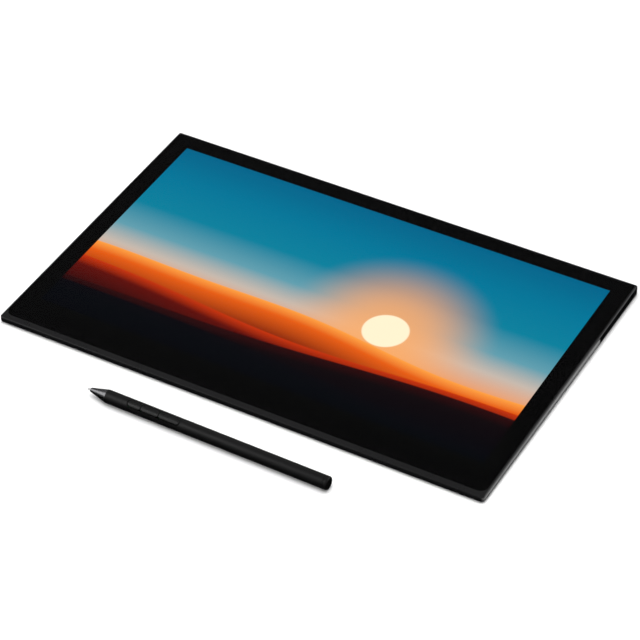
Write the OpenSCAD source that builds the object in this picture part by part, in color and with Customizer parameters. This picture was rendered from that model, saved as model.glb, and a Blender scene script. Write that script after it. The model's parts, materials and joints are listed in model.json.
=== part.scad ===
// Graphics tablet with a screen, lying on a desk, and its pen in front of it.
// Millimetres. The origin is on the desk, under the middle of the two together; +Y points to the back.

/* [Screen] */
// Width of the lit picture
screen_w = 294.4; // [250:0.1:350]
// Depth of the lit picture
screen_d = 165.6; // [140:0.1:200]
// From the picture to the housing's left and right sides
side_bezel = 12.8; // [11:0.1:18]
// From the picture to the housing's back edge
top_bezel = 12.1; // [11.5:0.1:20]
// From the picture to the housing's front edge, lip included
bottom_bezel = 25.3; // [20:0.1:40]
// Blind border of the display panel at its sides and back
panel_border = 1.2; // [0.6:0.1:1.6]
// Blind border of the display panel at its front
panel_front_border = 5; // [2:0.1:8]
// Thickness of the display panel
panel_t = 0.9; // [0.7:0.05:1]
// How far the pen sensor reaches past the picture
sensor_border = 0.7; // [0.2:0.1:1.1]
// Thickness of the pen sensor
sensor_t = 0.3; // [0.2:0.05:0.4]
// Thickness of the shield foil
shield_t = 0.15; // [0.1:0.05:0.25]
// Thickness of the chassis plate
chassis_t = 0.5; // [0.3:0.05:0.6]

/* [Housing] */
// Height of the glass above the desk at the front edge
front_h = 4.4; // [4.2:0.1:6]
// Height of the glass above the desk at the back edge
back_h = 6.8; // [6.4:0.1:9]
// Radius of the housing's front corners, seen from above
corner_r = 2.5; // [2:0.1:6]
// Rounding of the top edge
edge_r = 1.2; // [0.6:0.1:1.5]
// How much larger than that rounding the radius of the back corners is
back_corner_more = 0.1; // [0.05:0.05:2]
// Width of the frame's rim beside and behind the glass
side_rim = 1.35; // [1.2:0.05:2]
// Width of the lip in front of the glass
lip_run = 4.1; // [3:0.1:8]
// How far the lip falls towards the front
lip_drop = 0.3; // [0.1:0.05:0.6]
// Thickness of the frame's outer wall
frame_wall = 2.4; // [2:0.1:3]
// Thickness of the ledge under the glass
ledge_t = 0.7; // [0.5:0.05:0.8]
// Thickness of the cover's floor
cover_t = 0.75; // [0.7:0.05:1]
// Width of the cover's rim
cover_rim = 4.4; // [4.2:0.1:4.8]
// Height above the desk where the sides end and the undercut begins
edge_gap = 1.1; // [0.8:0.1:1.4]
// How far the cover's rim, below the seam with the frame, stands above its floor
cover_edge = 0.25; // [0.1:0.05:0.5]
// How far the undercut runs in to the flat underside
undercut_run = 4; // [3:0.1:4.2]
// Height of the rubber feet
foot_h = 0.5; // [0.3:0.05:0.6]
// Length of a rubber foot
foot_l = 30; // [10:1:60]
// Width of a rubber foot
foot_w = 8; // [6:0.5:14]
// From the housing's sides to the middle of a foot
foot_inset_x = 34; // [30:1:60]
// From the housing's front and back to the middle of a foot
foot_inset_y = 22; // [18:1:50]

/* [Glass] */
// Thickness of the cover glass
glass_t = 0.7; // [0.5:0.05:0.9]
// Radius of the glass's front corners
glass_front_r = 5; // [2:0.5:8]
// Radius of the glass's back corners
glass_back_r = 1.4; // [1:0.1:3]
// Thickness of the adhesive tape
tape_t = 0.15; // [0.1:0.05:0.25]
// Air between the glass and the display panel
panel_gap = 0.05; // [0.02:0.01:0.1]

/* [Ports and board] */
// Length of the bay in the right side
bay_l = 47; // [42:0.5:50]
// Distance between the two sockets
port_pitch = 22; // [18:0.5:24]
// Width of a socket shell
usb_w = 8.94; // [8.6:0.01:9.2]
// Height of a socket shell
usb_h = 3.16; // [3:0.01:3.2]
// Depth of a socket shell
usb_l = 7; // [6:0.1:7.4]
// Wall of a socket shell
usb_wall = 0.3; // [0.2:0.05:0.35]
// Thickness of the plate that holds the sockets
insert_t = 1; // [0.6:0.1:1.4]
// Width of the main board
board_w = 92; // [88:1:120]
// Depth of the main board
board_d = 50; // [46:1:60]
// Thickness of the main board
board_t = 0.8; // [0.6:0.05:0.9]
// Height of the shield can
can_h = 0.85; // [0.7:0.05:0.9]

/* [Power button] */
// Length of the power button
power_w = 10; // [6:0.5:14]
// Height of the power button
power_h = 1.6; // [1.2:0.1:1.7]
// How far the power button stands out
power_proud = 0.5; // [0.4:0.05:0.8]
// From the housing's right side to the middle of the power button
power_inset = 60; // [56:1:64]

/* [Screws] */
// Diameter of a screw's thread
screw_d = 1.6; // [1.2:0.1:1.8]
// Diameter of a screw's head
screw_head_d = 3.2; // [2.6:0.1:3.4]
// Height of a screw's head
screw_head_h = 0.45; // [0.3:0.05:0.5]
// Width of the hexagonal recess in a screw's head
screw_drive_d = 1.5; // [1:0.1:1.8]
// Depth of that recess
screw_drive_h = 0.25; // [0.1:0.05:0.3]
// How far a case screw reaches into its post
screw_grip = 1.1; // [0.8:0.1:1.3]
// Diameter of a screw post
post_d = 4.2; // [3.4:0.1:4.4]

/* [Pen] */
// Length of the pen
pen_l = 159.4; // [140:0.1:180]
// Diameter of the pen
pen_d = 8.1; // [7.8:0.1:10]
// Wall of the pen's barrel
pen_wall = 0.85; // [0.7:0.05:0.95]
// From the tip to the end of the grey cone, where the barrel begins
cone_l = 13.6; // [11:0.1:16]
// Radius of the cone at its front
cone_front_r = 1.25; // [1.1:0.05:1.6]
// Diameter of the nib
nib_d = 1.5; // [1.2:0.05:1.75]
// How far the nib stands out of the cone
nib_out = 2.2; // [1.2:0.1:3]
// From the end of the cone to the front of the side switches
switch_set = 14.6; // [13:0.1:25]
// Length of the front side switch
front_switch_l = 9.4; // [8:0.1:14]
// Length of the middle side switch
middle_switch_l = 12; // [8:0.1:14]
// Length of the rear side switch
rear_switch_l = 14; // [8:0.1:16]
// Width of the side switches
switch_w = 4.5; // [3.6:0.1:4.6]
// Radius of a side switch's corners
switch_r = 1.4; // [0.6:0.1:1.8]
// How far the side switches stand out
switch_proud = 0.15; // [0.05:0.01:0.25]
// Length of the end cap
cap_l = 2.8; // [2:0.1:5]
// Rounding of the end cap's edge
cap_r = 1.1; // [0.4:0.1:1.4]
// From the tablet's front edge to the pen's axis
pen_gap = 28.9; // [15:0.1:60]
// How far the pen lies to the right of the tablet's middle
pen_shift = 0.8; // [-60:0.1:60]
// Turn of the pen on the desk
pen_turn = -0.7; // [-10:0.1:10]
// Roll of the pen, which turns its switches to the front
pen_roll = 29; // [0:1:60]

/* [Clearances] */
// Between pieces that are set into each other
fit = 0.1; // [0.05:0.01:0.12]
// Round a sliding button
slide_gap = 0.15; // [0.1:0.01:0.16]
// Travel of the power button
power_travel = 0.35; // [0.2:0.05:0.4]
// Travel of a side switch on the pen
switch_travel = 0.35; // [0.2:0.05:0.4]
// Travel of the nib
nib_travel = 0.5; // [0.3:0.05:0.55]
// Left between a pressed piece and what it presses
press_rest = 0.1; // [0.05:0.01:0.12]

/* [Hidden] */
$fn = 64;

// The housing follows from the picture and its borders. The tablet's own frame is centred on the housing.
body_w = screen_w + 2 * side_bezel;
body_d = screen_d + top_bezel + bottom_bezel;
screen_back = body_d / 2 - top_bezel;
screen_front = screen_back - screen_d;
wedge = asin((back_h - front_h) / body_d);
far = body_w + body_d;
cut = 1;

// Heights in the tablet's own frame, whose level planes lie along the glass
glass_top = (front_h + back_h) / 2;
glass_z = glass_top - glass_t;
ledge_z = glass_z - tape_t;
ledge_under = ledge_z - ledge_t;
panel_z = glass_z - panel_gap - panel_t;
sensor_z = panel_z - sensor_t;
shield_z = sensor_z - shield_t;
chassis_z = shield_z - chassis_t;

// Heights above the desk
floor_h = foot_h + cover_t;
split_h = floor_h + cover_edge;

// Glass and panel outlines
glass_front = -body_d / 2 + lip_run;
glass_back = body_d / 2 - side_rim;
glass_half = body_w / 2 - side_rim;
panel_half = screen_w / 2 + panel_border;
panel_back = screen_back + panel_border;
panel_front = screen_front - panel_front_border;
panel_room = 0.6;
inner_r = 0.5;
back_corner_r = edge_r + back_corner_more;
flex_room = 3.2;
tape_inset = 0.4;

// Main board, with the shield can and what else stands on it, measured from its back right corner
can_gap = 0.2;
board_z = chassis_z - can_gap - can_h - board_t;
board_top = board_z + board_t;
board_overhang = 0.7;
board_back = panel_back + board_overhang;
stack_gap = 0.4;
port_x = panel_half + stack_gap + usb_l;
board_gap = 0.3;
board_right = port_x - insert_t - board_gap;
board_left = board_right - board_w;
board_front = board_back - board_d;
hole_edge = 6;
hole_back = 14;
hole_right = 20;
board_holes = [
    [board_left + hole_edge, board_front + hole_edge],
    [board_left + hole_edge, board_back - hole_back],
    [board_right - hole_right, board_front + hole_edge]
];
can_size = [34, 26];
can_inset = [60, 37];
can_pos = [board_right, board_back] - can_inset;
can_wall = 0.2;
chip_size = 14;
chip_h = 0.5;
coil_size = 3;
coil_h = 0.8;
coil_pitch = 5;
connector_d = 3.2;
connector_side = 1;
connector_h = 0.8;
connector_inset = 4.3;
connector_back = board_back - connector_inset;
flex_t = 0.15;
flex_out = 1.8;
flex_rise = 0.35;
display_flex_w = 24;
sensor_flex_w = 14;

// Bay and sockets
usb_rise = 0.45;
port_z = board_top + usb_rise;
bay_inset = 19.5;
bay_y = board_back - bay_inset;
tab_w = 1.1;
tab_l = 2.4;
tab_t = 0.3;
tongue_w = 6.7;
tongue_t = 0.7;
tongue_base = 1.5;
tongue_set = 0.8;

// Power button, in the back wall, and its switch
power_x = body_w / 2 - power_inset;
power_roof = 0.15;
power_z = ledge_under - power_h / 2 - slide_gap - power_roof;
power_flange_w = 3;
power_flange_t = 0.6;
power_stem_w = 3;
power_switch_w = 4;
power_switch_l = 3.5;
power_switch_h = 0.9;
power_switch_overhang = 1;
power_switch_y = board_back + power_switch_overhang;
power_stem_z = board_top + power_switch_h / 2;
power_stem_h = 0.7;
wall_inside = body_d / 2 - frame_wall;

// The ribbons and their connectors stand to the left and right of the power switch
flex_gap = 8.5;
display_flex_x = power_x - power_switch_w / 2 - flex_gap - display_flex_w / 2;
sensor_flex_x = power_x + power_switch_w / 2 + flex_gap + sensor_flex_w / 2;

// Screws: posts stand in from the sides, evenly spaced
post_inset = 7;
post_end = 20;
screw_slack = 0.05;
hole_spare = 0.2;
function plane_z(h, y) = (h - y * sin(wedge)) / cos(wedge);
row_y = body_d / 2 - post_inset;
side_x = body_w / 2 - post_inset;
row_x = body_w / 2 - post_end;
case_posts = concat(
    [for (x = [-row_x, 0, row_x], y = [-row_y, row_y]) [x, y]],
    [for (x = [-side_x, side_x], k = [-1, 1]) [x, k * row_y / 3]]
);

// Ribs on the cover's floor
rib_w = 1.2;
rib_gap = 0.25;
rib_count = 5;
rib_end = 24;
rib_board_gap = 6;

// Where the two stand on the desk
pen_r = pen_d / 2;
pen_reach = pen_gap + pen_l / 2 * abs(sin(pen_turn)) + pen_r;
tablet_y = pen_reach / 2;

// Inside of the pen, along its axis from the tip
bore_r = pen_r - pen_wall;
nib_r = nib_d / 2;
spigot_r = bore_r - fit;
spigot_l = 3;
nib_gap = 0.12;
nib_bore_r = nib_r + nib_gap;
cap_x = pen_l - cap_l;
cap_spigot_l = 5;
cap_groove = 0.3;
core_r = 1.75;
core_gap = 0.25;
core_bore_r = nib_r + core_gap;
core_set = 0.5;
core_x = cone_l + spigot_l + core_set;
core_l = 4.8;
coil_margin = 0.3;
disc_x = core_x + core_l;
disc_t = 1.2;
sensor_set = 1.2;
sensor_x = disc_x + disc_t + sensor_set;
nib_l = sensor_x - nib_travel - press_rest;
force_sensor_t = 2;
force_sensor_gap = 0.6;
force_sensor_r = bore_r - force_sensor_gap;
carrier_r = bore_r - fit;
carrier_top = -0.5;
carrier_short = 40;
carrier_end = pen_l - carrier_short;
pen_board_t = 0.6;
pen_board_set = 0.5;
pen_board_x = sensor_x + force_sensor_t + pen_board_set;
pen_board_short = 8;
pen_board_end = carrier_end - pen_board_short;
pen_board_w = 5.2;
dome_h = 0.45;
dome_d = 2.6;
dome_top = carrier_top + pen_board_t + dome_h;
switch_base = dome_top + switch_travel + press_rest;
switch_flange_w = 0.5;
switch_flange_t = 0.6;
switch_ls = [front_switch_l, middle_switch_l, rear_switch_l];
slot_l = front_switch_l + middle_switch_l + rear_switch_l;
switch_x = cone_l + switch_set;
switch_starts = [switch_x, switch_x + front_switch_l, switch_x + front_switch_l + middle_switch_l];

// Placement of the two things on the desk
module lying() {
    translate([0, tablet_y, 0]) rotate([wedge, 0, 0]) children();
}

module pen_lying() {
    translate([pen_shift, tablet_y - body_d / 2 - pen_gap, pen_r])
        rotate([0, 0, pen_turn])
            translate([-pen_l / 2, 0, 0])
                rotate([pen_roll, 0, 0]) children();
}

// Half spaces above and below a height over the desk, in the tablet's own frame
module below_height(h) {
    rotate([-wedge, 0, 0]) translate([-far, -far, h - 2 * far]) cube(2 * far);
}

module above_height(h) {
    rotate([-wedge, 0, 0]) translate([-far, -far, h]) cube(2 * far);
}

// Flat rectangle between two corners, with one radius at the front and one at the back
module plate2d(x, y0, y1, front_r, back_r) {
    middle = (y0 + y1) / 2;
    translate([-x, y0 + front_r]) square([2 * x, y1 - back_r - y0 - front_r]);
    translate([-x + front_r, y0]) square([2 * (x - front_r), middle - y0]);
    translate([-x + back_r, middle]) square([2 * (x - back_r), y1 - middle]);
    for (s = [-1, 1]) {
        translate([s * (x - front_r), y0 + front_r]) circle(front_r);
        translate([s * (x - back_r), y1 - back_r]) circle(back_r);
    }
}

module body2d(inset, front_r, back_r) {
    plate2d(body_w / 2 - inset, -body_d / 2 + inset, body_d / 2 - inset, front_r, back_r);
}

module glass2d(gap) {
    plate2d(glass_half - gap, glass_front + gap, glass_back - gap, glass_front_r - gap, glass_back_r - gap);
}

module oblong2d(w, h) {
    square([w - h, h], center = true);
    for (s = [-1, 1]) translate([s * (w - h) / 2, 0]) circle(h / 2);
}

// Extrusions along X and along Y, with the outline's own up as +Z
module along_x(l) {
    rotate([90, 0, 90]) linear_extrude(l) children();
}

module along_y(l) {
    translate([0, l, 0]) rotate([90, 0, 0]) linear_extrude(l) children();
}

// The pen's round pieces are turned about its axis
module turned() {
    rotate([0, 90, 0]) rotate_extrude() children();
}

// Level slab of the housing's outline with its top edge rounded
module rounded_slab(z0, z1) {
    step = z1 - edge_r;
    x = body_w / 2;
    y = body_d / 2;
    side_l = body_d - corner_r - back_corner_r;
    translate([0, 0, z0]) linear_extrude(step - z0) body2d(0, corner_r, back_corner_r);
    translate([0, 0, step]) {
        linear_extrude(edge_r) body2d(edge_r, corner_r - edge_r, back_corner_r - edge_r);
        straight_edge(x, corner_r - y, side_l, 0);
        straight_edge(y, back_corner_r - x, body_w - 2 * back_corner_r, 90);
        straight_edge(x, back_corner_r - y, side_l, 180);
        straight_edge(y, corner_r - x, body_w - 2 * corner_r, 270);
        corner_edge(x, y, back_corner_r, 0);
        corner_edge(y, x, back_corner_r, 90);
        corner_edge(x, y, corner_r, 180);
        corner_edge(y, x, corner_r, 270);
    }
}

// One side's rounded edge, and one corner's, each turned into its place
module straight_edge(reach, start, l, turn) {
    rotate([0, 0, turn]) translate([reach - edge_r, start, 0]) along_y(l) edge2d();
}

module corner_edge(x, y, r, turn) {
    rotate([0, 0, turn]) translate([x - r, y - r, 0])
        rotate_extrude(angle = 90) translate([r - edge_r, 0]) edge2d();
}

module edge2d() {
    intersection() {
        circle(edge_r);
        square(edge_r);
    }
}

// Tablet: glass and the stack behind it
module cover_glass() {
    color([0.02, 0.02, 0.025]) lying() translate([0, 0, glass_z]) linear_extrude(glass_t) glass2d(fit);
}

module opening2d(grow) {
    x = panel_half + panel_room + grow;
    y0 = panel_front - panel_room - grow;
    translate([-x, y0]) square([2 * x, panel_back + flex_room + grow - y0]);
}

module bonding_tape() {
    color([0.1, 0.1, 0.1]) lying() translate([0, 0, ledge_z]) linear_extrude(tape_t) difference() {
        glass2d(fit + tape_inset);
        opening2d(tape_inset);
    }
}

module sheet(half, y0, y1, z, t) {
    translate([-half, y0, z]) cube([2 * half, y1 - y0, t]);
}

module display_panel() {
    color([0.1, 0.35, 0.45]) lying() sheet(panel_half, panel_front, panel_back, panel_z, panel_t);
}

module sensor_sheet(z, t) {
    half = screen_w / 2 + sensor_border;
    sheet(half, screen_front - sensor_border, screen_back + sensor_border, z, t);
}

module sensor_board() {
    color([0.1, 0.3, 0.15]) lying() sensor_sheet(sensor_z, sensor_t);
}

module sensor_shield() {
    color([0.75, 0.76, 0.78]) lying() sensor_sheet(shield_z, shield_t);
}

module chassis_plate() {
    color([0.5, 0.52, 0.54]) lying() sheet(panel_half, panel_front, panel_back, chassis_z, chassis_t);
}

// Tablet: frame
module lip_slope() {
    y = glass_front;
    front = -body_d / 2 - cut;
    drop = lip_drop * (y - front) / lip_run;
    translate([-far, 0, glass_top])
        along_x(2 * far) polygon([[y, 0], [front, -drop], [front, cut], [y, cut]]);
}

module bay_space(inner_x, top) {
    difference() {
        translate([inner_x, bay_y - bay_l / 2, -back_h]) cube([body_w, bay_l, top + back_h]);
        below_height(floor_h);
    }
}

module power_slot() {
    translate([power_x, wall_inside - cut, power_z])
        along_y(frame_wall + 2 * cut) oblong2d(power_w + 2 * slide_gap, power_h + 2 * slide_gap);
}

module screw_post(p) {
    translate([p[0], p[1], 0]) cylinder(d = post_d, h = ledge_z);
}

module post_hole(p) {
    z = plane_z(floor_h, p[1]);
    translate([p[0], p[1], z - hole_spare])
        cylinder(d = screw_d + 2 * screw_slack, h = screw_grip + 2 * hole_spare);
}

module mid_frame() {
    color([0.13, 0.13, 0.135]) lying() difference() {
        union() {
            difference() {
                rounded_slab(-back_h, glass_top);
                translate([0, 0, -far]) linear_extrude(far + ledge_under)
                    body2d(frame_wall, inner_r, inner_r);
                below_height(split_h);
            }
            difference() {
                for (p = case_posts) screw_post(p);
                below_height(floor_h);
            }
        }
        translate([0, 0, ledge_z]) linear_extrude(far) glass2d(0);
        translate([0, 0, -far]) linear_extrude(2 * far) opening2d(0);
        lip_slope();
        bay_space(port_x - insert_t, ledge_z);
        power_slot();
        for (p = case_posts) post_hole(p);
    }
}

// Tablet: cover
module undercut() {
    rise = edge_gap - foot_h;
    slope = rise / undercut_run;
    rotate([-wedge, 0, 0]) for (k = [0 : 3]) {
        reach = (k % 2 == 0 ? body_w : body_d) / 2;
        rotate([0, 0, 90 * k]) translate([0, -far, 0]) along_y(2 * far) polygon([
            [reach - undercut_run, foot_h],
            [reach + cut, edge_gap + slope * cut],
            [reach + cut, 0],
            [reach - undercut_run, 0]
        ]);
    }
}

module cover_block() {
    difference() {
        translate([0, 0, -back_h]) linear_extrude(2 * back_h) body2d(0, corner_r, back_corner_r);
        above_height(split_h);
        below_height(foot_h);
        undercut();
    }
}

module cover_pocket() {
    difference() {
        translate([0, 0, -back_h]) linear_extrude(2 * back_h) body2d(cover_rim, inner_r, inner_r);
        below_height(floor_h);
    }
}

module board_boss(p) {
    difference() {
        translate([p[0], p[1], -back_h]) cylinder(d = post_d, h = board_z + back_h);
        below_height(floor_h);
    }
}

module board_pilot(p) {
    z = plane_z(floor_h, p[1]);
    translate([p[0], p[1], z]) cylinder(d = screw_d + 2 * screw_slack, h = far);
}

module cover_ribs() {
    left = -body_w / 2 + rib_end;
    right = board_left - rib_board_gap;
    pitch = 2 * row_y / (rib_count + 1);
    difference() {
        for (k = [1 : rib_count])
            translate([left, -row_y + k * pitch - rib_w / 2, -back_h])
                cube([right - left, rib_w, chassis_z - rib_gap + back_h]);
        below_height(floor_h);
    }
}

module case_hole(p) {
    z = plane_z(foot_h, p[1]);
    translate([p[0], p[1], z - cut]) {
        cylinder(d = screw_head_d + 2 * fit, h = cut + screw_head_h);
        cylinder(d = screw_d + 2 * fit, h = cut + 2 * cover_t);
    }
}

module rear_cover() {
    color([0.07, 0.07, 0.075]) lying() difference() {
        union() {
            difference() {
                cover_block();
                cover_pocket();
                bay_space(port_x - usb_l - can_gap, 2 * back_h);
            }
            for (p = board_holes) board_boss(p);
            cover_ribs();
        }
        for (p = board_holes) board_pilot(p);
        for (p = case_posts) case_hole(p);
    }
}

module rubber_feet() {
    x = body_w / 2 - foot_inset_x;
    y = body_d / 2 - foot_inset_y;
    color([0.05, 0.05, 0.05]) for (sx = [-1, 1], sy = [-1, 1])
        translate([sx * x, tablet_y + sy * y, 0]) linear_extrude(foot_h) oblong2d(foot_l, foot_w);
}

module screw(head_z, shaft_to) {
    upward = shaft_to > head_z;
    outer_z = upward ? head_z : head_z + screw_head_h;
    drive_z = upward ? outer_z + screw_drive_h : outer_z - screw_drive_h;
    difference() {
        translate([0, 0, head_z]) cylinder(d = screw_head_d, h = screw_head_h);
        translate([0, 0, outer_z - screw_drive_h])
            cylinder(d = screw_drive_d, h = 2 * screw_drive_h, $fn = 6);
    }
    translate([0, 0, min(drive_z, shaft_to)]) cylinder(d = screw_d, h = abs(shaft_to - drive_z));
}

module case_screws() {
    color([0.35, 0.35, 0.36]) lying() for (p = case_posts) {
        z = plane_z(foot_h, p[1]);
        translate([p[0], p[1], 0]) screw(z, z + cover_t + screw_grip);
    }
}

module board_screws() {
    color([0.7, 0.7, 0.7]) lying() for (p = board_holes)
        translate([p[0], p[1], 0]) screw(board_top, plane_z(floor_h, p[1]) + hole_spare);
}

// Tablet: board
module at_ports() {
    for (s = [-1, 1]) translate([port_x, bay_y + s * port_pitch / 2, port_z]) children();
}

module main_board() {
    notch = usb_l + stack_gap / 2;
    color([0.05, 0.25, 0.15]) lying() difference() {
        translate([board_left, board_front, board_z]) cube([board_w, board_d, board_t]);
        at_ports() translate([-notch, -usb_w / 2 - fit, -usb_h])
            cube([notch + cut, usb_w + 2 * fit, 2 * usb_h]);
        for (p = board_holes) translate([p[0], p[1], board_z - cut])
            cylinder(d = screw_d + 2 * fit, h = board_t + 2 * cut);
    }
}

module on_board(pos, size) {
    translate([pos[0], pos[1], board_top]) cube(size);
}

module main_chip() {
    middle = can_pos + can_size / 2;
    color([0.08, 0.08, 0.08]) lying()
        on_board(middle - [chip_size, chip_size] / 2, [chip_size, chip_size, chip_h]);
}

module board_shield_can() {
    color([0.78, 0.78, 0.8]) lying() difference() {
        on_board(can_pos, [can_size[0], can_size[1], can_h]);
        translate([can_pos[0] + can_wall, can_pos[1] + can_wall, board_top - cut])
            cube([can_size[0] - 2 * can_wall, can_size[1] - 2 * can_wall, can_h - can_wall + cut]);
    }
}

module board_components() {
    color([0.3, 0.3, 0.32]) lying() for (k = [0 : 3])
        on_board([can_pos[0] + k * coil_pitch, can_pos[1] - 2 * coil_size], [coil_size, coil_size, coil_h]);
}

module connector(x, flex_w) {
    w = flex_w + 2 * connector_side;
    on_board([x - w / 2, connector_back - connector_d], [w, connector_d, connector_h]);
}

module flex_connectors() {
    color([0.85, 0.83, 0.76]) lying() {
        connector(display_flex_x, display_flex_w);
        connector(sensor_flex_x, sensor_flex_w);
    }
}

// Ribbon that leaves a sheet's back edge, turns down and runs forward to its connector
module flex(x, w, start_y, start_z) {
    back = panel_back + flex_out;
    low = board_top + flex_rise;
    translate([x - w / 2, 0, 0]) along_x(w) polygon([
        [start_y, start_z], [start_y, start_z + flex_t],
        [back, start_z + flex_t], [back, low],
        [connector_back, low], [connector_back, low + flex_t],
        [back - flex_t, low + flex_t], [back - flex_t, start_z]
    ]);
}

module display_flex() {
    color([0.7, 0.45, 0.15]) lying()
        flex(display_flex_x, display_flex_w, panel_back, panel_z + flex_t);
}

module sensor_flex() {
    color([0.7, 0.45, 0.15]) lying()
        flex(sensor_flex_x, sensor_flex_w, screen_back + sensor_border, sensor_z);
}

// Tablet: sockets
module port_insert() {
    color([0.06, 0.06, 0.06]) lying() difference() {
        translate([port_x - insert_t, bay_y - bay_l / 2 + fit, -back_h])
            cube([insert_t, bay_l - 2 * fit, ledge_z + back_h]);
        below_height(floor_h);
        at_ports() translate([-insert_t - cut, 0, 0])
            along_x(insert_t + 2 * cut) oblong2d(usb_w + 2 * fit, usb_h + 2 * fit);
    }
}

module usb_shells() {
    color([0.8, 0.8, 0.82]) lying() at_ports() difference() {
        union() {
            translate([-usb_l, 0, 0]) along_x(usb_l) oblong2d(usb_w, usb_h);
            translate([-usb_l + tab_l / 2, 0, tab_t / 2 - usb_rise])
                cube([tab_l, usb_w + 2 * tab_w, tab_t], center = true);
        }
        translate([-usb_l - cut, 0, 0])
            along_x(usb_l + 2 * cut) oblong2d(usb_w - 2 * usb_wall, usb_h - 2 * usb_wall);
    }
}

module usb_tongues() {
    inner_w = usb_w - 2 * usb_wall - fit;
    inner_h = usb_h - 2 * usb_wall - fit;
    color([0.1, 0.1, 0.1]) lying() at_ports() translate([-usb_l, 0, 0]) {
        along_x(tongue_base) oblong2d(inner_w, inner_h);
        along_x(usb_l - tongue_set) square([tongue_w, tongue_t], center = true);
    }
}

// Tablet: power button
module power_button() {
    inside = wall_inside - slide_gap;
    stem_to = power_switch_y + power_travel + press_rest;
    flange_y = inside - power_flange_t;
    color([0.13, 0.13, 0.135]) lying() translate([power_x, 0, 0]) {
        translate([0, flange_y, power_z])
            along_y(body_d / 2 + power_proud - flange_y) oblong2d(power_w, power_h);
        translate([-power_w / 2 - power_flange_w / 2, flange_y, power_z - power_h / 2])
            cube([power_w + power_flange_w, power_flange_t, power_h]);
        translate([-power_stem_w / 2, stem_to, power_stem_z - power_stem_h / 2])
            cube([power_stem_w, inside - stem_to, power_z + power_h / 2 - power_stem_z + power_stem_h / 2]);
    }
}

module power_switch() {
    color([0.2, 0.2, 0.2]) lying() translate([power_x, power_switch_y, board_top])
        translate([-power_switch_w / 2, -power_switch_l, 0])
            cube([power_switch_w, power_switch_l, power_switch_h]);
}

// Pen: outside
module pen_barrel() {
    color([0.06, 0.06, 0.06]) pen_lying() difference() {
        turned() translate([bore_r, cone_l]) square([pen_wall, cap_x - cone_l]);
        translate([switch_x + slot_l / 2, 0, 0]) linear_extrude(pen_d) oblong2d(slot_l, switch_w);
    }
}

module pen_nose_cone() {
    color([0.45, 0.45, 0.46]) pen_lying() turned() polygon([
        [nib_bore_r, nib_out], [cone_front_r, nib_out], [pen_r, cone_l], [spigot_r, cone_l],
        [spigot_r, cone_l + spigot_l], [nib_bore_r, cone_l + spigot_l]
    ]);
}

module pen_nib() {
    color([0.75, 0.75, 0.74]) pen_lying() turned() {
        translate([0, nib_r]) square([nib_r, nib_l - nib_r]);
        intersection() {
            translate([0, nib_r]) circle(nib_r);
            square([nib_r, nib_r]);
        }
    }
}

module pen_end_cap() {
    color([0.06, 0.06, 0.06]) pen_lying() turned() {
        translate([0, cap_x - cap_spigot_l]) square([bore_r - fit, cap_spigot_l]);
        translate([0, cap_x]) square([pen_r - cap_groove, cap_groove]);
        translate([0, cap_x + cap_groove]) square([pen_r, cap_l - cap_groove - cap_r]);
        translate([0, cap_x + cap_groove]) square([pen_r - cap_r, cap_l - cap_groove]);
        translate([pen_r - cap_r, pen_l - cap_r]) circle(cap_r);
    }
}

// One side switch: its share of the slot with rounded corners, crowned like the barrel, on a flange inside it
module pen_button(k) {
    l = switch_ls[k];
    half_w = switch_w / 2 - slide_gap;
    flange_w = switch_w + switch_flange_w;
    color([0.08, 0.08, 0.08]) pen_lying() intersection() {
        translate([switch_starts[k] + l / 2, 0, switch_base]) {
            linear_extrude(pen_d) intersection() {
                translate([switch_x + slot_l / 2 - switch_starts[k] - l / 2, 0])
                    oblong2d(slot_l - 2 * slide_gap, 2 * half_w);
                plate2d((l - slide_gap) / 2, -half_w, half_w, switch_r, switch_r);
            }
            translate([-l / 2 + switch_w / 4, -flange_w / 2, 0])
                cube([l - switch_w / 2, flange_w, switch_flange_t]);
        }
        rotate([0, 90, 0]) cylinder(r = pen_r + switch_proud, h = pen_l);
    }
}

module pen_button_front() {
    pen_button(0);
}

module pen_button_middle() {
    pen_button(1);
}

module pen_button_rear() {
    pen_button(2);
}

// Pen: inside
module pen_ferrite_core() {
    color([0.2, 0.2, 0.21]) pen_lying() turned() translate([core_bore_r, core_x])
        square([core_r - core_bore_r, core_l]);
}

module pen_coil() {
    color([0.7, 0.35, 0.15]) pen_lying() turned() translate([core_r + fit / 2, core_x + coil_margin])
        square([bore_r - coil_margin - core_r, core_l - 2 * coil_margin]);
}

module pen_pressure_sensor() {
    color([0.75, 0.73, 0.65]) pen_lying() translate([sensor_x, 0, 0]) rotate([0, 90, 0])
        cylinder(r = force_sensor_r, h = force_sensor_t);
}

module pen_core_carrier() {
    color([0.85, 0.85, 0.83]) pen_lying() difference() {
        translate([disc_x, 0, 0]) rotate([0, 90, 0]) cylinder(r = carrier_r, h = carrier_end - disc_x);
        translate([disc_x + disc_t, -pen_d, carrier_top]) cube([pen_l, 2 * pen_d, pen_d]);
        rotate([0, 90, 0]) cylinder(r = core_bore_r, h = sensor_x + cut);
        translate([sensor_x - fit / 2, 0, 0]) rotate([0, 90, 0])
            cylinder(r = force_sensor_r + fit, h = force_sensor_t + fit);
    }
}

module pen_circuit_board() {
    color([0.05, 0.25, 0.15]) pen_lying() translate([pen_board_x, -pen_board_w / 2, carrier_top])
        cube([pen_board_end - pen_board_x, pen_board_w, pen_board_t]);
}

module pen_switch_domes() {
    color([0.8, 0.78, 0.7]) pen_lying() for (k = [0 : 2])
        translate([switch_starts[k] + switch_ls[k] / 2, 0, carrier_top + pen_board_t])
            cylinder(d = dome_d, h = dome_h);
}

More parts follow.
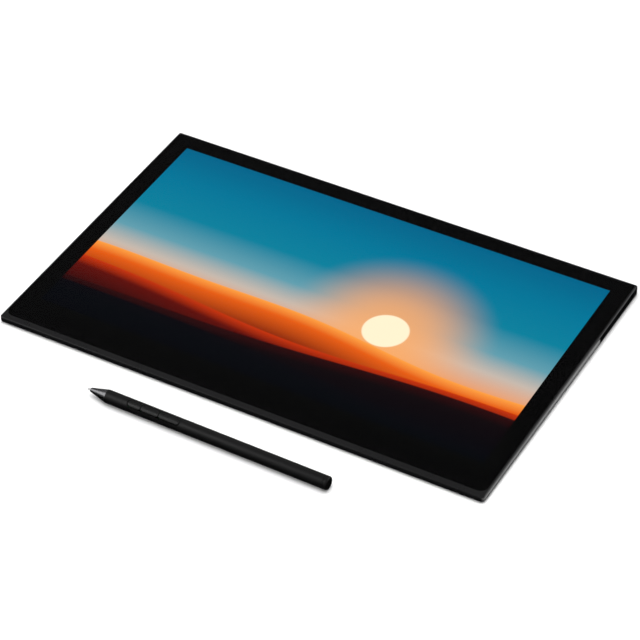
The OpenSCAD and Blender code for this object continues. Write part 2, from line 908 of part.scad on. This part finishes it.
cover_glass();
bonding_tape();
display_panel();
sensor_board();
sensor_shield();
chassis_plate();
mid_frame();
rear_cover();
main_board();
main_chip();
board_shield_can();
board_components();
flex_connectors();
display_flex();
sensor_flex();
port_insert();
usb_shells();
usb_tongues();
power_button();
power_switch();
rubber_feet();
case_screws();
board_screws();
pen_barrel();
pen_nose_cone();
pen_nib();
pen_ferrite_core();
pen_coil();
pen_pressure_sensor();
pen_core_carrier();
pen_circuit_board();
pen_switch_domes();
pen_button_front();
pen_button_middle();
pen_button_rear();
pen_end_cap();
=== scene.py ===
import json
import math

import bpy
import numpy as np
from mathutils import Matrix, Vector


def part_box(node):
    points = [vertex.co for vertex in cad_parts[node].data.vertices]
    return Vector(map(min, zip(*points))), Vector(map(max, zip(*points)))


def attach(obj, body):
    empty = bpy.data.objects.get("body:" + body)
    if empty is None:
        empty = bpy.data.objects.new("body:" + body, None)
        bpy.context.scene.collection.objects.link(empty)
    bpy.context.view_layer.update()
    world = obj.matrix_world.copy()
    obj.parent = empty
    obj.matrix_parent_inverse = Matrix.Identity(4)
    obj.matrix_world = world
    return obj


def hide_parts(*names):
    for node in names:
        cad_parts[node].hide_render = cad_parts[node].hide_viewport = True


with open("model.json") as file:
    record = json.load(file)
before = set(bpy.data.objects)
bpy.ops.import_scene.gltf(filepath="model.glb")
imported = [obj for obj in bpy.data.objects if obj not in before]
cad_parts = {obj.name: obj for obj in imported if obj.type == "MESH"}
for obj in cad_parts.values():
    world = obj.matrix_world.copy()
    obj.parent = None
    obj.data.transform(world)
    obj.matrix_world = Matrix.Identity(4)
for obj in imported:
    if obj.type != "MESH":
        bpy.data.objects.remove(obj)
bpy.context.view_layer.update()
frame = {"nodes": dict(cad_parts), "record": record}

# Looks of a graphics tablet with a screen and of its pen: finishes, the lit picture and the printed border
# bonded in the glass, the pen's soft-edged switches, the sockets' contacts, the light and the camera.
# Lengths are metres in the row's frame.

MM = 0.001

# The tablet's own frame: its origin lies on the desk under the housing, its level planes along the glass
RECORD = frame["record"]
MOUNTS = {mount["name"]: mount for mount in RECORD["mounts"]}
GLASS_MIDDLE = Vector(MOUNTS["drawing_face"]["pos_m"])
GLASS_NORMAL = Vector(MOUNTS["drawing_face"]["axis"])
WEDGE = math.atan2(-GLASS_NORMAL.y, GLASS_NORMAL.z)
GLASS_TOP = GLASS_MIDDLE.z / math.cos(WEDGE)
TABLET_Y = GLASS_MIDDLE.y + GLASS_TOP * math.sin(WEDGE)
TABLET = Matrix.Translation((0, TABLET_Y, 0)) @ Matrix.Rotation(WEDGE, 4, "X")

# Housing and screen
BODY_LOW, BODY_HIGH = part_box("mid_frame")
BODY_W = BODY_HIGH.x - BODY_LOW.x
BODY_D = (BODY_HIGH.y - BODY_LOW.y) / math.cos(WEDGE)
SCREEN_W, SCREEN_D = 294.4 * MM, 165.6 * MM
TOP_BEZEL = 12.1 * MM
SCREEN_Y = BODY_D / 2 - TOP_BEZEL - SCREEN_D / 2

# The pen's own frame: along it from tip to rear, and up out of its switches
JOINTS = {joint["name"]: joint for joint in RECORD["behaviour"]["joints"]}
PEN_ALONG = Vector(JOINTS["nib_press"]["axis"])
PEN_UP = -Vector(JOINTS["pen_front_press"]["axis"])
PEN_MIDDLE = Vector(MOUNTS["pen_hold"]["pos_m"])
PEN_TURN = Matrix((PEN_ALONG, PEN_UP.cross(PEN_ALONG), PEN_UP)).transposed().to_4x4()
PEN = Matrix.Translation(PEN_MIDDLE) @ PEN_TURN


def srgb(red, green, blue):
    """A colour given as 0 to 255 on a screen, as the linear values that shaders take."""
    c = np.array([red, green, blue]) / 255
    linear = np.where(c <= 0.04045, c / 12.92, ((c + 0.055) / 1.055) ** 2.4)
    return (*linear.tolist(), 1.0)


def add(tree, kind, settings=None, **inputs):
    """A new node with its settings. Its inputs take plain values or other nodes' outputs.

    An input goes by its name, or by its place as i0, i1 and so on.
    """
    node = tree.nodes.new("ShaderNode" + kind)
    for key, value in (settings or {}).items():
        setattr(node, key, value)
    for key, value in inputs.items():
        socket = node.inputs[int(key[1:])] if key[0] == "i" and key[1:].isdigit() else node.inputs[key]
        if isinstance(value, bpy.types.NodeSocket):
            tree.links.new(value, socket)
        else:
            socket.default_value = value
    return node


def maths(tree, operation, *values):
    """The output of one arithmetic node."""
    inputs = {f"i{k}": value for k, value in enumerate(values)}
    return add(tree, "Math", {"operation": operation}, **inputs).outputs[0]


def smooth(tree, value, low, high, out_low=0.0, out_high=1.0):
    """A value carried smoothly from one range to another and held at its ends."""
    node = add(tree, "MapRange", {"interpolation_type": "SMOOTHSTEP"}, Value=value)
    for name, limit in zip(("From Min", "From Max", "To Min", "To Max"), (low, high, out_low, out_high)):
        node.inputs[name].default_value = limit
    return node.outputs[0]


def ramp(tree, value, *stops):
    """A colour from a value, through stops of (position, colour)."""
    node = add(tree, "ValToRGB", Fac=value)
    elements = node.color_ramp.elements
    while len(elements) < len(stops):
        elements.new(0.5)
    for element, (position, colour) in zip(elements, stops):
        element.position = position
        element.color = colour
    return node.outputs[0]


def blend(tree, share, below, above):
    """Two colours mixed by a share of the second one."""
    return add(tree, "Mix", {"data_type": "RGBA"}, Factor=share, i6=below, i7=above).outputs[2]


def place(tree):
    """The point on the piece, in the row's frame."""
    return add(tree, "TexCoord").outputs["Object"]


def finish(name, colour, roughness, **sockets):
    """A Principled material. Values that are the same all over are set on its own sockets."""
    made = bpy.data.materials.new(name)
    made.use_nodes = True
    shader = made.node_tree.nodes["Principled BSDF"]
    shader.inputs["Base Color"].default_value = colour
    shader.inputs["Roughness"].default_value = roughness
    for key, value in sockets.items():
        shader.inputs[key.replace("_", " ")].default_value = value
    return made, made.node_tree, shader


# Most of a noise lies between these two values, and a pattern with an even stretch is the same every way
NOISE_LOW, NOISE_HIGH = 0.3, 0.7
EVEN = (1, 1, 1)


def noise(tree, size, detail=2.0, stretch=EVEN):
    """Noise whose spots have about the given size in metres, longer along an axis with a smaller stretch."""
    vector = add(tree, "Mapping", Vector=place(tree), Scale=stretch).outputs[0]
    return add(tree, "TexNoise", Vector=vector, Scale=1 / size, Detail=detail).outputs[0]


def vary(tree, shader, colour, spread, size, stretch=EVEN):
    """Lets a colour drift a little lighter and darker in soft patches."""
    dark = tuple(c * (1 - spread) for c in colour[:3]) + (1.0,)
    light = tuple(min(1.0, c * (1 + spread)) for c in colour[:3]) + (1.0,)
    mixed = ramp(tree, noise(tree, size, 3.0, stretch), (NOISE_LOW, dark), (NOISE_HIGH, light))
    tree.links.new(mixed, shader.inputs["Base Color"])


def roughen(tree, shader, low, high, size, stretch=EVEN):
    """Lets the roughness drift between two values, as handling leaves it."""
    drift = smooth(tree, noise(tree, size, 4.0, stretch), NOISE_LOW, NOISE_HIGH, low, high)
    tree.links.new(drift, shader.inputs["Roughness"])


def bump(tree, shader, height, depth):
    """Raises the surface by a pattern, with the given depth in metres."""
    node = add(tree, "Bump", Height=height, Strength=1.0, Distance=depth)
    tree.links.new(node.outputs[0], shader.inputs["Normal"])


# The glass's coating against reflections shows as a lower refractive index
COATED_IOR = 1.15
INK_BLACK = srgb(13, 13, 14)


def etched_glass():
    """Clear cover glass with a finely etched face and faint patches where hands have wiped it."""
    made, tree, shader = finish("etched_glass", (1, 1, 1, 1), 0.06, IOR=COATED_IOR, Transmission_Weight=1.0)
    roughen(tree, shader, low=0.03, high=0.08, size=40 * MM)
    return made


def border_ink():
    """Black ink printed on the underside of the glass, seen through it."""
    made, tree, shader = finish("border_ink", INK_BLACK, 0.8, Specular_IOR_Level=0.0)
    vary(tree, shader, INK_BLACK, spread=0.12, size=6 * MM)
    return made


# The picture is drawn on u and v, which run from 0 to 1 across it and up it. Sky: shades by height
SKY = (
    (0.28, (240, 150, 84)), (0.40, (196, 182, 170)), (0.50, (96, 156, 172)),
    (0.64, (8, 126, 154)), (0.82, (0, 116, 150)), (1.0, (0, 98, 136)),
)
# Sun: its middle, its radius and soft edge as shares of the picture's height, and the glow round it
SUN_U, SUN_V, SUN_R, SUN_SOFT = 0.66, 0.43, 0.085, 0.004
SUN_SHADE = srgb(255, 240, 205)
GLOW_REACH, GLOW_SHARE = 0.42, 0.8
GLOW_SHADE = srgb(250, 170, 96)
# Dunes: level, then waves as (height, radians across the picture, start), then shades from the crest down
DUNES = (
    (0.345, ((0.034, 4.2, 0.6), (0.010, 11.0, 2.0)), ((250, 158, 66), (226, 92, 18), (120, 30, 8))),
    (0.270, ((0.038, 3.1, 2.9), (0.010, 9.0, 0.3)), ((196, 52, 10), (92, 14, 7), (26, 6, 8))),
    (0.190, ((0.042, 2.6, 5.0), (0.008, 8.0, 1.1)), ((44, 8, 8), (12, 4, 7), (4, 3, 7))),
    (0.105, ((0.036, 3.6, 1.2), (0.006, 7.0, 4.0)), ((5, 4, 9), (2, 4, 8), (2, 3, 7))),
)
SHADE_DEPTHS = (0.0, 0.05, 0.16)
CREST_SOFT = 0.003
# The picture's rim, where it ends in the panel's dark margin
RIM_SOFT = 0.0003
MARGIN_SHADE = srgb(4, 4, 5)
PICTURE_LIGHT = 1.06
UNLIT_PANEL = (0.002, 0.002, 0.003, 1)


def dusk_picture():
    """A plain dusk picture that lights by itself: a sky from teal to peach, a low sun and rows of dunes.

    A dune is all that lies below its crest, which is a level plus sine waves across the picture.
    """
    made, tree, shader = finish(
        "dusk_picture", UNLIT_PANEL, 0.4, Specular_IOR_Level=0.0, Emission_Strength=PICTURE_LIGHT
    )
    mapping = add(tree, "Mapping", Vector=place(tree))
    mapping.inputs["Scale"].default_value = (1 / SCREEN_W, 1 / SCREEN_D, 1)
    mapping.inputs["Location"].default_value = (0.5, 0.5 - (TABLET_Y + SCREEN_Y) / SCREEN_D, 0)
    axes = add(tree, "SeparateXYZ", Vector=mapping.outputs[0])
    u, v = axes.outputs[0], axes.outputs[1]
    picture = ramp(tree, v, *((height, srgb(*shade)) for height, shade in SKY))
    across = maths(tree, "MULTIPLY", maths(tree, "SUBTRACT", u, SUN_U), SCREEN_W / SCREEN_D)
    up = maths(tree, "SUBTRACT", v, SUN_V)
    squares = [maths(tree, "POWER", side, 2.0) for side in (across, up)]
    reach = maths(tree, "SQRT", maths(tree, "ADD", *squares))
    glow = smooth(tree, reach, GLOW_REACH, SUN_R, 0.0, GLOW_SHARE)
    picture = blend(tree, glow, picture, GLOW_SHADE)
    sun = smooth(tree, reach, SUN_R + SUN_SOFT, SUN_R - SUN_SOFT)
    picture = blend(tree, sun, picture, SUN_SHADE)
    for level, waves, shades in DUNES:
        crest = level
        for height, run, start in waves:
            wave = maths(tree, "SINE", maths(tree, "MULTIPLY_ADD", u, run, start))
            crest = maths(tree, "MULTIPLY_ADD", wave, height, crest)
        depth = maths(tree, "SUBTRACT", crest, v)
        body = ramp(tree, depth, *((deep, srgb(*shade)) for deep, shade in zip(SHADE_DEPTHS, shades)))
        picture = blend(tree, smooth(tree, depth, -CREST_SOFT, CREST_SOFT), picture, body)
    from_middle = [maths(tree, "ABSOLUTE", maths(tree, "SUBTRACT", c, 0.5)) for c in (u, v)]
    inside = [smooth(tree, far, 0.5 + RIM_SOFT, 0.5 - RIM_SOFT) for far in from_middle]
    picture = blend(tree, maths(tree, "MULTIPLY", *inside), MARGIN_SHADE, picture)
    tree.links.new(picture, shader.inputs["Emission Color"])
    return made


def anodised(name, colour, rough, **sockets):
    """Bead-blasted and anodised metal: a fine even grain under a satin skin."""
    made, tree, shader = finish(name, colour, rough, **sockets)
    vary(tree, shader, colour, spread=0.08, size=30 * MM)
    roughen(tree, shader, rough - 0.05, rough + 0.05, size=8 * MM)
    bump(tree, shader, noise(tree, size=0.12 * MM), depth=0.004 * MM)
    return made


def moulded(name, colour, rough, grain=0.2 * MM, depth=0.006 * MM, **sockets):
    """Moulded plastic or rubber with a spark-eroded grain."""
    made, tree, shader = finish(name, colour, rough, **sockets)
    vary(tree, shader, colour, spread=0.10, size=12 * MM)
    roughen(tree, shader, rough - 0.06, rough + 0.06, size=5 * MM)
    bump(tree, shader, noise(tree, grain, detail=3.0), depth)
    return made


STREAK_STRETCH, STREAK_SIZE = 0.02, 0.3 * MM


def brushed(name, colour, rough, along):
    """Drawn or brushed metal: streaks along one axis."""
    made, tree, shader = finish(name, colour, rough, Metallic=1.0)
    stretch = tuple(STREAK_STRETCH if k == along else 1.0 for k in range(3))
    vary(tree, shader, colour, spread=0.10, size=STREAK_SIZE, stretch=stretch)
    roughen(tree, shader, rough - 0.08, rough + 0.08, size=STREAK_SIZE, stretch=stretch)
    return made


def circuit_board():
    """Green solder mask with fine tracks showing under it."""
    mask, track = srgb(18, 78, 46), srgb(46, 120, 74)
    made, tree, shader = finish("circuit_board", mask, 0.35)
    wave = add(tree, "TexWave", Vector=place(tree), Scale=700.0, Distortion=3.0, Detail=1.0)
    tracks = smooth(tree, wave.outputs[1], 0.72, 0.8)
    tree.links.new(blend(tree, tracks, mask, track), shader.inputs["Base Color"])
    bump(tree, shader, tracks, depth=0.02 * MM)
    return made


TRACK_PITCH, WIRE_PITCH = 0.5 * MM, 0.1 * MM


def stripes(tree, pitch):
    """A sine along the row's x axis, with one wave to a pitch."""
    x = add(tree, "SeparateXYZ", Vector=place(tree)).outputs[0]
    return maths(tree, "SINE", maths(tree, "MULTIPLY", x, 2 * math.pi / pitch))


def ribbon():
    """Amber film with copper tracks along its length."""
    film, copper = srgb(176, 112, 40), srgb(206, 122, 66)
    made, tree, shader = finish("ribbon", film, 0.3)
    tracks = smooth(tree, stripes(tree, TRACK_PITCH), -0.2, 0.2)
    tree.links.new(blend(tree, tracks, film, copper), shader.inputs["Base Color"])
    return made


def winding():
    """Enamelled copper wire wound round the pen's axis."""
    groove, wire = srgb(120, 58, 26), srgb(190, 104, 48)
    made, tree, shader = finish("winding", wire, 0.25, Metallic=1.0)
    turns = stripes(tree, WIRE_PITCH)
    tree.links.new(blend(tree, smooth(tree, turns, -0.6, 0.6), groove, wire), shader.inputs["Base Color"])
    bump(tree, shader, turns, depth=0.03 * MM)
    return made


def dress(finish_made, *nodes):
    """Gives one finish to CAD nodes."""
    for name in nodes:
        data = frame["nodes"][name].data
        data.materials.clear()
        data.materials.append(finish_made)


def dress_cad():
    """A finish for every CAD node."""
    dress(etched_glass(), "cover_glass")
    dress(moulded("panel_dark", srgb(20, 22, 26), 0.4), "display_panel")
    dress(anodised("frame_anodised", srgb(14, 14, 15), 0.32, Specular_IOR_Level=0.41),
          "mid_frame", "power_button")
    dress(anodised("cover_anodised", srgb(13, 13, 14), 0.45), "rear_cover")
    dress(moulded("socket_plastic", srgb(50, 50, 52), 0.55), "port_insert", "usb_tongues")
    dress(brushed("socket_steel", srgb(190, 190, 194), 0.3, along=0), "usb_shells")
    dress(brushed("screw_steel", srgb(70, 70, 74), 0.4, along=1),
          "case_screws", "board_screws", "pen_switch_domes")
    dress(moulded("foot_rubber", srgb(22, 22, 22), 0.85, grain=0.4 * MM, depth=0.02 * MM), "rubber_feet")
    dress(moulded("tape_foam", srgb(20, 20, 20), 0.9), "bonding_tape")
    dress(circuit_board(), "main_board", "sensor_board", "pen_circuit_board")
    dress(brushed("foil", srgb(206, 208, 210), 0.35, along=1), "sensor_shield", "board_shield_can")
    dress(brushed("chassis_sheet", srgb(150, 153, 157), 0.45, along=0), "chassis_plate")
    dress(moulded("chip_epoxy", srgb(28, 28, 30), 0.6), "main_chip", "board_components", "power_switch")
    dress(moulded("ivory_plastic", srgb(222, 216, 200), 0.5),
          "flex_connectors", "pen_core_carrier", "pen_pressure_sensor")
    dress(ribbon(), "display_flex", "sensor_flex")
    dress(moulded("pen_barrel_black", srgb(9, 9, 9), 0.40, grain=0.15 * MM, depth=0.004 * MM,
                  Specular_IOR_Level=0.36), "pen_barrel", "pen_end_cap")
    dress(brushed("pen_cone_grey", srgb(116, 116, 118), 0.26, along=0), "pen_nose_cone")
    dress(moulded("nib_plastic", srgb(176, 176, 176), 0.5), "pen_nib")
    dress(moulded("ferrite", srgb(60, 60, 62), 0.6), "pen_ferrite_core")
    dress(winding(), "pen_coil")


def piece(name, points, faces, made, body):
    """A new mesh that moves with a CAD body."""
    mesh = bpy.data.meshes.new(name)
    mesh.from_pydata(points.tolist(), [], faces)
    mesh.materials.append(made)
    mesh.update()
    new = bpy.data.objects.new(name, mesh)
    bpy.context.scene.collection.objects.link(new)
    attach(new, body)
    return new


def rounded_loop(x, y, radii, steps=12):
    """Points round a rectangle between two x and two y, anticlockwise from its back right corner.

    Each corner's arc is its centre plus a turning radius, and each corner has its own radius.
    """
    turn = (np.arange(4)[:, None] + np.linspace(0, 1, steps)[None, :]) * math.pi / 2
    radius = np.array(radii)[:, None]
    corner_x = np.array([x[1], x[0], x[0], x[1]])[:, None]
    corner_y = np.array([y[1], y[1], y[0], y[0]])[:, None]
    sign_x = np.array([1, -1, -1, 1])[:, None]
    sign_y = np.array([1, 1, -1, -1])[:, None]
    px = corner_x - sign_x * radius + radius * np.cos(turn)
    py = corner_y - sign_y * radius + radius * np.sin(turn)
    return np.stack([px.ravel(), py.ravel()], axis=1)


def at_height(loop, z):
    """A flat loop of points, all at one height."""
    return np.c_[loop, np.full(len(loop), z)]


def ring_faces(rings, around, closed=True):
    """Quads between neighbouring closed rings of points. Where closed, the last ring joins the first."""
    j, i = np.meshgrid(np.arange(rings if closed else rings - 1), np.arange(around), indexing="ij")
    j2, i2 = (j + 1) % rings, (i + 1) % around
    quads = np.stack([j * around + i, j * around + i2, j2 * around + i2, j2 * around + i], axis=-1)
    return quads.reshape(-1, 4).tolist()


def stack_faces(rings, around):
    """Quads between rings that lie one on the other, and one face that closes each end."""
    last = (rings - 1) * around
    ends = [list(range(around))[::-1], list(range(last, last + around))]
    return ring_faces(rings, around, closed=False) + ends


def placed(points, own):
    """Points of a frame of its own, in the row's frame."""
    turn = np.array(own)
    return points @ turn[:3, :3].T + turn[:3, 3]


def span(node, own):
    """Lowest and highest corner of a CAD node, measured in a frame of its own."""
    mesh = frame["nodes"][node].data
    points = np.empty(3 * len(mesh.vertices))
    mesh.vertices.foreach_get("co", points)
    local = placed(points.reshape(-1, 3), own.inverted())
    return local.min(axis=0), local.max(axis=0)


# Border print and picture: films bonded just inside the glass's underside, so that only its face mirrors
GLASS_T = 0.7 * MM
FILM_GAP, FILM_T = 0.02 * MM, 0.02 * MM
FILM_LOW = GLASS_TOP - GLASS_T + FILM_GAP
FILM_TOP = FILM_LOW + FILM_T
INK_INSET = 0.02 * MM
GLASS_FRONT_R, GLASS_BACK_R = 4.9 * MM, 1.3 * MM
SCREEN_R = 0.25 * MM


def picture_outline():
    """The lit picture's outline: a rectangle with barely rounded corners."""
    x, y = SCREEN_W / 2, SCREEN_D / 2
    return rounded_loop((-x, x), (SCREEN_Y - y, SCREEN_Y + y), [SCREEN_R] * 4)


def border_print():
    """The black border: a flat ring from the glass's outline to the picture's, with a thin box section."""
    low, high = span("cover_glass", TABLET)
    radii = [r - INK_INSET for r in (GLASS_BACK_R, GLASS_BACK_R, GLASS_FRONT_R, GLASS_FRONT_R)]
    outer = rounded_loop(
        (low[0] + INK_INSET, high[0] - INK_INSET), (low[1] + INK_INSET, high[1] - INK_INSET), radii
    )
    inner = picture_outline()
    section = (outer, FILM_LOW), (outer, FILM_TOP), (inner, FILM_TOP), (inner, FILM_LOW)
    points = np.concatenate([at_height(loop, z) for loop, z in section])
    faces = ring_faces(len(section), len(outer))
    piece("border_print", placed(points, TABLET), faces, border_ink(), "tablet")


def lit_picture():
    """The lit picture: a thin slab with a wall round its outline and two flat faces."""
    outline = picture_outline()
    points = np.concatenate([at_height(outline, z) for z in (FILM_LOW, FILM_TOP)])
    faces = stack_faces(2, len(outline))
    piece("lit_picture", placed(points, TABLET), faces, dusk_picture(), "tablet")


# Side switches of the pen: caps crowned like the barrel, with soft edges
SWITCH_HALF_W = 2.02 * MM
SWITCH_FRONT_SET, SWITCH_REAR_SET = 0.36 * MM, 0.22 * MM
SWITCH_R, SWITCH_LEAST_R = 1.4 * MM, 0.02 * MM
SWITCH_EDGE = 0.35 * MM
SWITCH_WALL = 1.6 * MM
SWITCH_RIDGE = 0.05 * MM
SWITCH_EDGE_STEPS = 6
SWITCH_TOP_STEPS = 8


def switch_cap(node, made, front_r, rear_r, front_set=0.0, rear_set=0.0):
    """One side switch: a wall round its outline, a quarter-round edge and a crown that follows the barrel.

    A ring is the outline drawn in by a distance, down to a narrow ridge. Its height is the crown, which is a
    circle about the pen's axis, less the drop of the edge there. The sets draw its ends in, so that the gap
    round the row shows.
    """
    low, high = span(node, PEN)
    front, rear = low[0] + front_set, high[0] - rear_set
    crown_r = high[2]
    arc = np.linspace(0, math.pi / 2, SWITCH_EDGE_STEPS)
    top = np.linspace(SWITCH_EDGE, SWITCH_HALF_W - SWITCH_RIDGE, SWITCH_TOP_STEPS)[1:]
    insets = np.concatenate([[0], SWITCH_EDGE * (1 - np.cos(arc)), top])
    drops = np.concatenate([[SWITCH_WALL], SWITCH_EDGE * (1 - np.sin(arc)), np.zeros(len(top))])
    rings = []
    for inset, drop in zip(insets, drops):
        radii = [max(r - inset, SWITCH_LEAST_R) for r in (rear_r, front_r, front_r, rear_r)]
        half_w = SWITCH_HALF_W - inset
        loop = rounded_loop((front + inset, rear - inset), (-half_w, half_w), radii)
        rings.append(np.c_[loop, np.sqrt(crown_r ** 2 - loop[:, 1] ** 2) - drop])
    faces = stack_faces(len(rings), len(rings[0]))
    points = placed(np.concatenate(rings), PEN)
    cap = piece(node.replace("button", "switch_cap"), points, faces, made, node)
    cap.data.shade_smooth()
    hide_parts(node)


def pen_switches():
    """The three switch caps: round ends at the front and rear of the row, small corners between them."""
    made = moulded("pen_switch_black", srgb(9, 9, 9), 0.30, grain=0.15 * MM, depth=0.003 * MM,
                   Specular_IOR_Level=0.42)
    switch_cap("pen_button_front", made, SWITCH_HALF_W, SWITCH_R, front_set=SWITCH_FRONT_SET)
    switch_cap("pen_button_middle", made, SWITCH_R, SWITCH_R)
    switch_cap("pen_button_rear", made, SWITCH_R, SWITCH_HALF_W, rear_set=SWITCH_REAR_SET)


# Contacts on the tongues of the two sockets
CONTACT_COUNT = 12
CONTACT_PITCH, CONTACT_W, CONTACT_T = 0.5 * MM, 0.26 * MM, 0.02 * MM
CONTACT_L, CONTACT_SET = 3.6 * MM, 1.3 * MM
TONGUE_T = 0.7 * MM


def boxes(middles, size):
    """Box meshes of one size about several middles: each corner is a middle plus or minus half the size."""
    signs = np.array([(x, y, z) for z in (-1, 1) for y, x in ((-1, -1), (-1, 1), (1, 1), (1, -1))])
    points = (middles[:, None, :] + signs[None, :, :] * np.array(size) / 2).reshape(-1, 3)
    quads = np.array([(3, 2, 1, 0), (4, 5, 6, 7), (0, 1, 5, 4), (1, 2, 6, 5), (2, 3, 7, 6), (3, 0, 4, 7)])
    faces = (np.arange(len(middles))[:, None, None] * 8 + quads[None]).reshape(-1, 4)
    return points, faces.tolist()


def socket_contacts():
    """Rows of gold pads on both faces of each tongue, side by side at an even pitch."""
    across = (np.arange(CONTACT_COUNT) - (CONTACT_COUNT - 1) / 2) * CONTACT_PITCH
    made = brushed("contact_gold", srgb(222, 176, 92), 0.25, along=0)
    tongue_tip = span("usb_tongues", TABLET)[1][0]
    middles = []
    for port in ("usb_front", "usb_rear"):
        mouth = placed(np.array([MOUNTS[port]["pos_m"]]), TABLET.inverted())[0]
        for face in (-1, 1):
            row = np.zeros((CONTACT_COUNT, 3))
            row[:, 0] = tongue_tip - CONTACT_SET - CONTACT_L / 2
            row[:, 1] = mouth[1] + across
            row[:, 2] = mouth[2] + face * (TONGUE_T + CONTACT_T) / 2
            middles.append(row)
    points, faces = boxes(np.concatenate(middles), (CONTACT_L, CONTACT_W, CONTACT_T))
    piece("socket_contacts", placed(points, TABLET), faces, made, "tablet")


# The desk, white near the object by the lamps and white far off by itself, as a studio's sweep is
DESK_WHITE = (0.9, 0.9, 0.9, 1)
DESK_REACH, DESK_DROP = 80.0, -0.05 * MM
SWEEP_FROM, SWEEP_TO, SWEEP_WHITE = 1.0, 2.6, 1.0


def floor():
    """A plain pale desk: one flat square."""
    made, tree, shader = finish(
        "desk_white", DESK_WHITE, 0.9, Specular_IOR_Level=0.0, Emission_Color=(1, 1, 1, 1)
    )
    vary(tree, shader, DESK_WHITE, spread=0.01, size=0.3)
    away = add(tree, "VectorMath", {"operation": "LENGTH"}, i0=place(tree)).outputs["Value"]
    sweep = smooth(tree, away, SWEEP_FROM, SWEEP_TO, 0.0, SWEEP_WHITE)
    tree.links.new(sweep, shader.inputs["Emission Strength"])
    mesh = bpy.data.meshes.new("desk")
    signs = (-1, -1), (1, -1), (1, 1), (-1, 1)
    mesh.from_pydata([(x * DESK_REACH, y * DESK_REACH, DESK_DROP) for x, y in signs], [], [(0, 1, 2, 3)])
    mesh.materials.append(made)
    desk = bpy.data.objects.new("desk", mesh)
    desk.visible_glossy = False
    bpy.context.scene.collection.objects.link(desk)


# The room's dim light, which fades out just below the horizon
ROOM_LIGHT = 0.25
FADE_LOW, FADE_HIGH = -0.06, -0.005

# Lamps, which only light: place, facing, size and radiance
LAMPS = {
    "ceiling": ((0, 0, 2.2), (0, 0, -1), (5.0, 5.0), 0.63),
    "key": ((-0.23, 0.25, 2.2), (0, 0, -1), (1.1, 2.3), 6.1),
    "front_fill": ((0.25, -1.6, 0.75), (-0.14, 0.9, -0.42), (1.6, 0.6), 2.6),
}
LAMP_HIDDEN = ("glossy", "transmission")

# Cards, which only show where a surface mirrors them: direction, distance, size and radiance
CARDS = {
    "left_card": ((-0.72, -0.42, 0.55), 1.3, (1.0, 0.9), 1.95),
    "back_card": ((0.72, 0.66, 0.25), 1.2, (0.9, 0.6), 1.9),
}
CARD_HIDDEN = ("diffuse",)

# The card on the desk beside the right side ends where the side mirrors the start of the socket bay. Its
# other end lies a share of the housing's depth in front of the middle
BAY_FRONT = 48.3 * MM
CARD_GAP, CARD_LIFT, CARD_SPARE = 1.0 * MM, 0.1 * MM, 5.0 * MM
CARD_W, CARD_FRONT_SHARE, CARD_RADIANCE = 0.2, 0.7, 1.72


def lamp(name, middle, facing, size, radiance, hidden):
    """A flat soft lamp at a place, facing one way. Its power is its radiance times pi times its area.

    hidden names the kinds of rays that don't see it.
    """
    data = bpy.data.lights.new(name, "AREA")
    data.shape = "RECTANGLE"
    data.size, data.size_y = size
    data.energy = radiance * math.pi * size[0] * size[1]
    new = bpy.data.objects.new(name, data)
    new.location = middle
    new.rotation_euler = (-Vector(facing)).to_track_quat("Z", "Y").to_euler()
    for rays in hidden:
        setattr(new, "visible_" + rays, False)
    bpy.context.scene.collection.objects.link(new)


def room():
    """A world that is dim and even above the horizon and dark below it."""
    world = bpy.data.worlds.new("studio")
    world.use_nodes = True
    bpy.context.scene.world = world
    tree = world.node_tree
    background = tree.nodes["Background"]
    up = add(tree, "SeparateXYZ", Vector=add(tree, "TexCoord").outputs["Generated"]).outputs[2]
    background.inputs["Color"].default_value = (1, 1, 1, 1)
    strength = smooth(tree, up, FADE_LOW, FADE_HIGH, 0.0, ROOM_LIGHT)
    tree.links.new(strength, background.inputs["Strength"])


def light():
    """Soft light from above in a dim room, and cards that give the edges and the pen their highlights."""
    room()
    for name, (middle, facing, size, radiance) in LAMPS.items():
        lamp(name, middle, facing, size, radiance, LAMP_HIDDEN)
    for name, (toward, distance, size, radiance) in CARDS.items():
        away = Vector(toward).normalized()
        lamp(name, away * distance, -away, size, radiance, CARD_HIDDEN)
    card_x = BODY_W / 2 + CARD_GAP + CARD_W / 2
    card_back = BAY_FRONT + CARD_SPARE
    card_l = card_back + CARD_FRONT_SHARE * BODY_D
    card_middle = (card_x, TABLET_Y + card_back - card_l / 2, CARD_LIFT)
    lamp("right_card", card_middle, (0, 0, 1), (CARD_W, card_l), CARD_RADIANCE, CARD_HIDDEN)


# Camera, as the photograph was taken: its lens, its angles and its place in the tablet's own frame
LENS, SENSOR = 151.258, 36.0
AZIMUTH, ELEVATION, ROLL = (math.radians(a) for a in (30.529, 41.222, -1.550))
EYE = Vector((611.8, -1037.5, 1045.52)) * MM
CLIP_NEAR, CLIP_FAR = 0.05, 50.0


def camera():
    """The photograph's camera: angles and place in the tablet's own frame, carried into the row's."""
    data = bpy.data.cameras.new("camera")
    data.lens, data.sensor_width = LENS, SENSOR
    data.clip_start, data.clip_end = CLIP_NEAR, CLIP_FAR
    back = Vector((
        math.sin(AZIMUTH) * math.cos(ELEVATION),
        -math.cos(AZIMUTH) * math.cos(ELEVATION),
        math.sin(ELEVATION),
    ))
    level = Vector((math.cos(AZIMUTH), math.sin(AZIMUTH), 0))
    up = back.cross(level)
    right = math.cos(ROLL) * level + math.sin(ROLL) * up
    up = math.cos(ROLL) * up - math.sin(ROLL) * level
    turn = Matrix((right, up, back)).transposed().to_4x4()
    new = bpy.data.objects.new("camera", data)
    new.matrix_world = TABLET @ Matrix.Translation(EYE) @ turn
    bpy.context.scene.collection.objects.link(new)
    bpy.context.scene.camera = new


camera()
dress_cad()
border_print()
lit_picture()
pen_switches()
socket_contacts()
floor()
light()
bpy.context.scene.view_settings.view_transform = "Standard"
